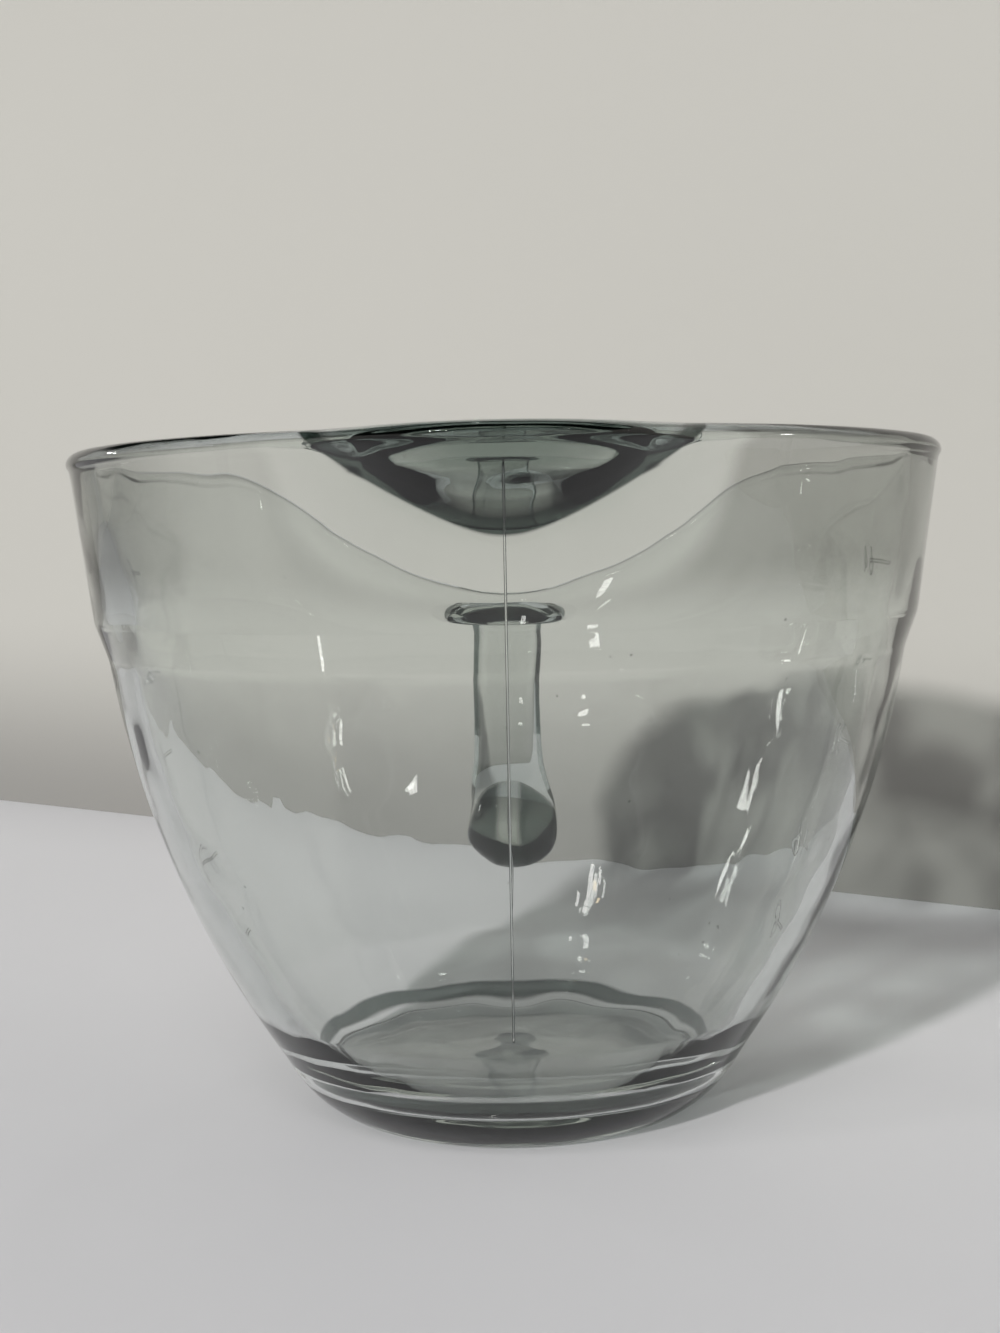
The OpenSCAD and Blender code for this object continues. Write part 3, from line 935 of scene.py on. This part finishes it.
# a noise is its scale, detail and roughness; places and widths here are in metres
glassLook = {
    "ior": 1.52, "tint": (0.985, 0.995, 0.99, 1.0), "roughness": 0.0,
    "absorb": (0.18, 0.29, 0.21, 1.0), "density": 21.0,
    "wave": (46.0, 1.0, 0.4), "waveDepth": 0.00045,
    "ripple": (210.0, 2.0, 0.5), "rippleDepth": 0.0000025,
    "speckScale": 130.0, "speckSize": 0.045, "speckShare": 0.86,
    "speckTint": (0.45, 0.47, 0.45, 1.0),
    "smudge": (38.0, 4.0, 0.6), "smudgeSteps": (0.5, 0.75),
    "smudgeTint": (0.955, 0.965, 0.955, 1.0),
    "shadowShare": (0.12, 0.75), "shadowTint": (0.86, 0.88, 0.87, 1.0),
    "patch": (58.0, 1.0, 0.4), "patchSteps": (0.42, 0.6),
    # the masks and colours from here down are painted shade, with a painted highlight stripe on
    # the knob
    "bandShadeSkin": (-0.0035, -0.0025), "bandShadeSpout": (0.0009, 0.0022),
    "bandShadeRise": (0.1125, 0.126), "bandShadeBack": (-0.06, 0.09),
    "bandShadeTint": (0.46, 0.465, 0.45, 1.0),
    "beakShadeFade": (0.0055, 0.011), "beakShadeTint": (0.44, 0.51, 0.475, 1.0),
    "lipShadeFade": (0.012, 0.017), "lipShadeRise": (0.1385, 0.1425), "lipShadeTint": (0.16, 0.20, 0.18, 1.0),
    "paleFrom": (-0.076, -0.056), "paleTo": (-0.05, -0.02), "paleShare": 0.6,
    "borderFrom": (-0.0002, 0.0006), "borderTo": (0.003, 0.006), "borderSkin": 0.002,
    "borderShadeTint": (0.008, 0.014, 0.011, 1.0),
    "knobShadeTint": (0.03, 0.045, 0.038, 1.0), "knobAt": (0.0, 0.101, 0.0455),
    "knobShadeFade": (0.013, 0.018), "stripe": (0.0018, 0.0042), "stripeShare": 0.75,
    "ringAt": (0.0432, 0.0460), "ringHalf": (0.0005, 0.0011), "ringZ": 0.007,
    "ringShadeTint": (0.02, 0.03, 0.026, 1.0),
    "edgeShadeFade": (0.0078, 0.0102), "edgeShadeTint": (0.15, 0.20, 0.18, 1.0),
}


def makeGlass(name, look, *extras):
    material = bpy.data.materials.new(name)
    material.use_nodes = True
    m = Maker(material.node_tree)
    place = m.ask("ShaderNodeTexCoord", "Object")
    x, y, z = m.axes(place)
    fromAxis = (x * x + y * y) ** 0.5
    wave = m.noise(place, *look["wave"])
    ripple = m.noise(place, *look["ripple"])
    waves = m.ask("ShaderNodeBump", "Normal", None, {
        "Strength": 1.0, "Distance": look["waveDepth"], "Height": wave})
    bumps = m.ask("ShaderNodeBump", "Normal", None, {
        "Strength": 1.0, "Distance": look["rippleDepth"], "Height": ripple, "Normal": waves})
    # clean glass with faint smudges and a few specks in it
    cells = m.node("ShaderNodeTexVoronoi", None, {"Vector": place, "Scale": look["speckScale"]})
    chosen = m.ask("ShaderNodeSeparateColor", 0, None, {"Color": m.value(cells, 1)})
    speck = (m.value(cells, 0) < look["speckSize"]) * (chosen > look["speckShare"])
    smudge = m.noise(place, *look["smudge"]).step(*look["smudgeSteps"])
    tint = m.blend(smudge, look["tint"], look["smudgeTint"])
    tint = m.blend(speck, tint, look["speckTint"])
    b = bowlShape
    slope = (b["bandTopR"] - b["bandR"]) / (b["beadZ"] - b["bandZ"])
    beyond = fromAxis - (z - b["bandZ"] * mm) * slope - b["bandR"] * mm
    if "bandShade" in extras:
        # painted shade: the band is painted darker than the wall towards the front, most of all
        # beside the spout, and less on a stretch at its left
        skin = beyond.step(*look["bandShadeSkin"]) * (1.0 - beyond.step(*look["bandShadeSpout"]))
        share = skin * z.step(*look["bandShadeRise"]) * (1.0 - y.step(*look["bandShadeBack"]))
        light = x.step(*look["paleFrom"]) * (1.0 - x.step(*look["paleTo"]))
        tint = m.blend(share * (1.0 - light * look["paleShare"]), tint, look["bandShadeTint"])
    if "spout" in extras:
        # the beak is thicker, and painted shade makes it darker still, most of all along its lip
        tint = m.blend(beyond.step(*look["beakShadeFade"]), tint, look["beakShadeTint"])
        lip = beyond.step(*look["lipShadeFade"]) * z.step(*look["lipShadeRise"])
        tint = m.blend(lip, tint, look["lipShadeTint"])
        # a dark border of painted shade follows the scoop that shapes the beak
        s = spoutShape
        tip, half = math.radians(s["tip"]), math.radians(s["beakHalf"])
        turn = x.turnFrom(0.0 - y)
        soft = ((turn * turn + tip * tip) ** 0.5 - tip) / (math.hypot(half, tip) - tip)
        edge = soft ** s["beakPower"] * ((b["beadZ"] - s["beakZ"]) * mm) + s["beakZ"] * mm
        border = (z - edge).step(*look["borderFrom"]) * (1.0 - (z - edge).step(*look["borderTo"]))
        tint = m.blend(border * (beyond > look["borderSkin"]), tint, look["borderShadeTint"])
    if "knob" in extras:
        # the free end is the thickest glass, painted darker with painted shade, and a lighter
        # stripe down its middle is a painted highlight
        u, v, w = (axis - at for axis, at in zip((x, y, z), look["knobAt"]))
        away = (u * u + v * v + w * w) ** 0.5
        stripe = (1.0 - abs(u).step(*look["stripe"])) * look["stripeShare"]
        share = (1.0 - away.step(*look["knobShadeFade"])) * (1.0 - stripe)
        tint = m.blend(share, tint, look["knobShadeTint"])
    if "ring" in extras:
        # the floor's edge shows as a dark double ring of painted shade
        inner, outer = look["ringAt"]
        near = abs(fromAxis - inner).atMost(abs(fromAxis - outer))
        share = (1.0 - near.step(*look["ringHalf"])) * (z > look["ringZ"])
        tint = m.blend(share, tint, look["ringShadeTint"])
    if "edges" in extras:
        # painted shade darkens the grip's two sides, where its glass bends most
        tint = m.blend(abs(x).step(*look["edgeShadeFade"]), tint, look["edgeShadeTint"])
    glass = m.ask("ShaderNodeBsdfPrincipled", "BSDF", None, {
        "Base Color": tint, "Roughness": look["roughness"], "IOR": look["ior"],
        "Transmission Weight": 1.0, "Normal": bumps})
    joint = m.ask("ShaderNodeAttribute", "Fac", {"attribute_name": "joint"})
    if "root" in extras:
        # the band's face under the handle's root is a joint too
        startW, startT = rootStart()
        power = 2 / handleShape["power"]
        across = (abs(x) / (startW * mm)) ** power
        upward = (abs(z - handleShape["rootZ"] * mm) / (startT * mm)) ** power
        outside = fromAxis > bowlShape["bandR"] * mm
        joint = joint.atLeast(((across + upward) < 1.0) * (y > 0.0) * outside)
    # light that falls through the glass keeps a part of its strength, in uneven patches
    low, high = look["shadowShare"]
    patch = m.noise(place, *look["patch"]).step(*look["patchSteps"])
    shadow = m.ask("ShaderNodeLightPath", "Is Shadow Ray") * (patch * (high - low) + low)
    whole = m.mixed(joint, m.mixed(shadow, glass, m.clear(look["shadowTint"])), m.clear())
    depth = m.ask("ShaderNodeVolumeAbsorption", "Volume", None, {
        "Color": look["absorb"], "Density": look["density"]})
    m.node("ShaderNodeOutputMaterial", None, {"Surface": whole, "Volume": depth})
    return material


bowlGlass = makeGlass("clearGlass", {**glassLook, "shadowShare": (0.68, 1.0)})
bandGlass = makeGlass("bandGlass", glassLook, "bandShade", "root")
spoutGlass = makeGlass("spoutGlass", glassLook, "bandShade", "spout")
gripGlass = makeGlass("gripGlass", glassLook, "edges")
endGlass = makeGlass("endGlass", glassLook, "knob")
baseLook = {**glassLook, "shadowShare": (0.5, 0.75), "density": 7.0}
baseGlass = makeGlass("baseGlass", baseLook, "ring")

makeBase(baseGlass)
makeWall(bowlGlass)
makeUpper("spout", spoutGlass, range(0, spoutLast + 1), "pour_spout", "spout_lip")
makeUpper("band", bandGlass, list(range(spoutLast, colCount)) + [0], "upper_band", "rim_bead")
rootEnd, gripEnd = handleEnds
for part, glass, first, last in (
        ("root", bowlGlass, 0, rootEnd), ("grip", gripGlass, rootEnd, gripEnd),
        ("end", endGlass, gripEnd, len(handlePoints) - 1)):
    makeHandlePart(part, glass, first, last)
print("glass pieces made")
for side, turn in (("front", 0.0), ("back", 180.0)):
    makeSeam(side + "_seam_ridge", turn, markShape[side + "SeamTo"], bowlGlass, side + "_seam")
for side in ("left", "right"):
    turn = markShape[side + "Turn"]
    makeLines(side + "_line_ridges", turn, bowlGlass, side + "_scale_lines")
    makeFigures(side + "_figure_ridges", turn, markShape[side], bowlGlass, side + "_scale_figures")
print("marks made")


# table, wall behind, light and camera

roomLook = {
    "table": (0.685, 0.69, 0.715, 1.0), "wall": (0.435, 0.43, 0.404, 1.0),
    # the wall's fade and its corner and top colours are painted shade
    "wallHeight": 0.52, "wallFade": (0.35, 0.47), "fadeY": 0.1, "fadeZ": 0.135,
    "cornerShadeMm": 100.0, "corner": (0.24, 0.236, 0.225, 1.0), "wallTopShade": (0.012, 0.02, 0.016, 1.0),
    "wallLeft": (-0.2645, 0.5049), "wallRight": (0.1673, 0.1899),
    "lightSky": (0.12, 0.12, 0.125, 1.0), "seenSky": (0.02, 0.027, 0.023, 1.0),
    "horizon": (0.52, 0.515, 0.49, 1.0), "skyFade": (0.31, 0.46), "paleCrossings": 4.5,
    "mottle": (3.0, 0.5), "spread": 0.03, "wallScale": 3.0, "tableScale": 2.0,
    "roughness": 0.55, "specular": 0.3,
    "beside": 1.2, "before": 2.6, "behind": 1.1, "below": 0.0002,
}


def plainMaterial(name, colour, scale, isWall):
    r = roomLook
    material = bpy.data.materials.new(name)
    material.use_nodes = True
    m = Maker(material.node_tree)
    place = m.ask("ShaderNodeTexCoord", "Object")
    soft = m.noise(place, scale, *r["mottle"])
    dark = tuple(v * (1 - r["spread"]) for v in colour[:3]) + (1.0,)
    paint = m.blend(soft, dark, colour)
    if isWall:
        # painted shade darkens the wall towards the corner where it meets the table
        x, y, z = m.axes(place)
        paint = m.blend(z.step(0.0, r["cornerShadeMm"] * mm), r["corner"], paint)
        # painted shade: seen steeply through the glass, the wall gets darker upwards
        away = (x * x + (y + r["fadeY"]) * (y + r["fadeY"])) ** 0.5
        steep = (z - r["fadeZ"]) / away
        through = m.ask("ShaderNodeLightPath", "Is Transmission Ray")
        paint = m.blend(steep.step(*r["wallFade"]) * through, paint, r["wallTopShade"])
    surface = m.ask("ShaderNodeBsdfPrincipled", "BSDF", None, {
        "Base Color": paint, "Roughness": r["roughness"], "Specular IOR Level": r["specular"]})
    if isWall:
        # from behind, the wall lets the bowl be seen
        surface = m.mixed(m.ask("ShaderNodeNewGeometry", "Backfacing"), surface, m.clear())
    m.node("ShaderNodeOutputMaterial", None, {"Surface": surface})
    return material


def makeStage():
    r = roomLook
    lo, hi = Vector((*r["wallLeft"], 0)), Vector((*r["wallRight"], 0))
    way = (hi - lo).normalized()
    left, right = lo - way * r["beside"], hi + way * r["beside"]
    tall = Vector((0, 0, r["wallHeight"]))
    outward = Vector((-way.y, way.x, 0))
    below = Vector((0, 0, -r["below"]))
    front, back = below - outward * r["before"], below + outward * r["behind"]
    for name, corners, material in (
            ("backdrop", (left, right, right + tall, left + tall),
             plainMaterial("paleWall", r["wall"], r["wallScale"], True)),
            ("table", (left + back, right + back, right + front, left + front),
             plainMaterial("paleTable", r["table"], r["tableScale"], False))):
        mesh = bpy.data.meshes.new(name)
        mesh.from_pydata(corners, [], [(0, 1, 2, 3)])
        mesh.materials.append(material)
        linked(name, mesh)


def makeWorld():
    r = roomLook
    world = bpy.data.worlds.new("studio")
    bpy.context.scene.world = world
    world.use_nodes = True
    m = Maker(world.node_tree)
    height = m.axes(m.ask("ShaderNodeTexCoord", "Generated"))[2]
    # glass sees a pale horizon and a dark room above, the camera a pale wall
    seen = m.blend(height.step(*r["skyFade"]), r["horizon"], r["seenSky"])
    crossed = m.ask("ShaderNodeLightPath", "Transmission Depth") > r["paleCrossings"]
    seen = m.blend(crossed, seen, r["seenSky"])
    seen = m.blend(m.ask("ShaderNodeLightPath", "Is Camera Ray"), seen, r["horizon"])
    bounced = m.ask("ShaderNodeLightPath", "Diffuse Depth") > 0.5
    sky = m.ask("ShaderNodeBackground", "Background", None, {
        "Color": m.blend(bounced, seen, r["lightSky"]), "Strength": 1.0})
    m.node("ShaderNodeOutputWorld", None, {"Surface": sky})


def makeLamp(name, kind, place, power, colour, seen):
    # a lamp that shines at the bowl, and is itself seen in the glass or not
    lamp = bpy.data.lights.new(name, kind)
    lamp.energy = power
    lamp.color = colour
    holder = linked(name, lamp)
    holder.location = place
    way = Vector(lampTarget) - Vector(place)
    holder.rotation_euler = way.to_track_quat("-Z", "Y").to_euler()
    holder.visible_camera = False
    holder.visible_glossy = seen
    holder.visible_transmission = seen
    return lamp


lampTarget = (0, 0, 0.06)
white, warm = (1.0, 0.985, 0.96), (1.0, 0.72, 0.42)
# each lamp's place, size, power and colour, and whether glass shows it
lampTable = {
    "roomLight": ((-0.22, -0.85, 1.12), (0.36, 0.36), 2.7, white, False),
    "spotA": ((-0.59, -0.59, 0.84), (0.03, 0.12), 0.5, white, True),
    "spotB": ((-0.64, -0.55, 0.78), (0.02, 0.03), 0.20, white, True),
    "spotC": ((-0.54, -0.65, 0.90), (0.025, 0.03), 0.22, white, True),
    "spotD": ((-0.67, -0.62, 0.88), (0.02, 0.02), 0.10, warm, True),
    "streakA": ((0.53, -0.17, 0.352), (0.012, 0.035), 0.042, white, True),
    "clusterA": ((-1.05, 0.57, 0.50), (0.05, 0.07), 0.45, white, True),
    "clusterB": ((-1.10, 0.46, 0.44), (0.03, 0.05), 0.22, white, True),
    "barA": ((-0.52, -0.89, 0.56), (0.05, 0.012), 0.09, white, True),
    "barB": ((-0.11, -1.01, 0.57), (0.03, 0.014), 0.07, white, True),
    "beakA": ((0.74, -0.82, 0.79), (0.08, 0.03), 0.30, white, True),
    "beakB": ((-0.10, 0.49, 1.18), (0.04, 0.02), 0.20, white, True),
}
# a parallel light with a small spread, which keeps its shadows crisp
keyLight = {"place": (-0.56, -1.05, 0.62), "strength": 3.15, "spread": 3.0}
cameraPlace = {
    "place": (0.0, -0.4145, 0.129), "pitch": 4.0, "yaw": 0.2215, "roll": 1.07,
    "lens": 48.2, "sensor": 36.0, "clip": 0.01,
}


def makeCamera():
    c = cameraPlace
    pitch, yaw, roll = (math.radians(c[k]) for k in ("pitch", "yaw", "roll"))
    ahead = Vector((-math.sin(yaw) * math.cos(pitch), math.cos(yaw) * math.cos(pitch),
                    -math.sin(pitch)))
    right = ahead.cross(Vector((0, 0, 1))).normalized()
    up = right.cross(ahead)
    camRight = right * math.cos(roll) - up * math.sin(roll)
    camUp = right * math.sin(roll) + up * math.cos(roll)
    data = bpy.data.cameras.new("camera")
    data.sensor_width, data.lens, data.clip_start = c["sensor"], c["lens"], c["clip"]
    camera = linked("camera", data)
    turn = Matrix((camRight, camUp, -ahead)).transposed().to_4x4()
    camera.matrix_world = Matrix.Translation(Vector(c["place"])) @ turn
    bpy.context.scene.camera = camera


makeStage()
makeWorld()
for name, (place, size, power, colour, seen) in lampTable.items():
    lamp = makeLamp(name, "AREA", place, power, colour, seen)
    lamp.shape = "RECTANGLE"
    lamp.size, lamp.size_y = size
lamp = makeLamp("keyLight", "SUN", keyLight["place"], keyLight["strength"], white, False)
lamp.angle = math.radians(keyLight["spread"])
makeCamera()
bpy.context.scene.view_settings.view_transform = "Standard"
print("stage, light and camera ready")
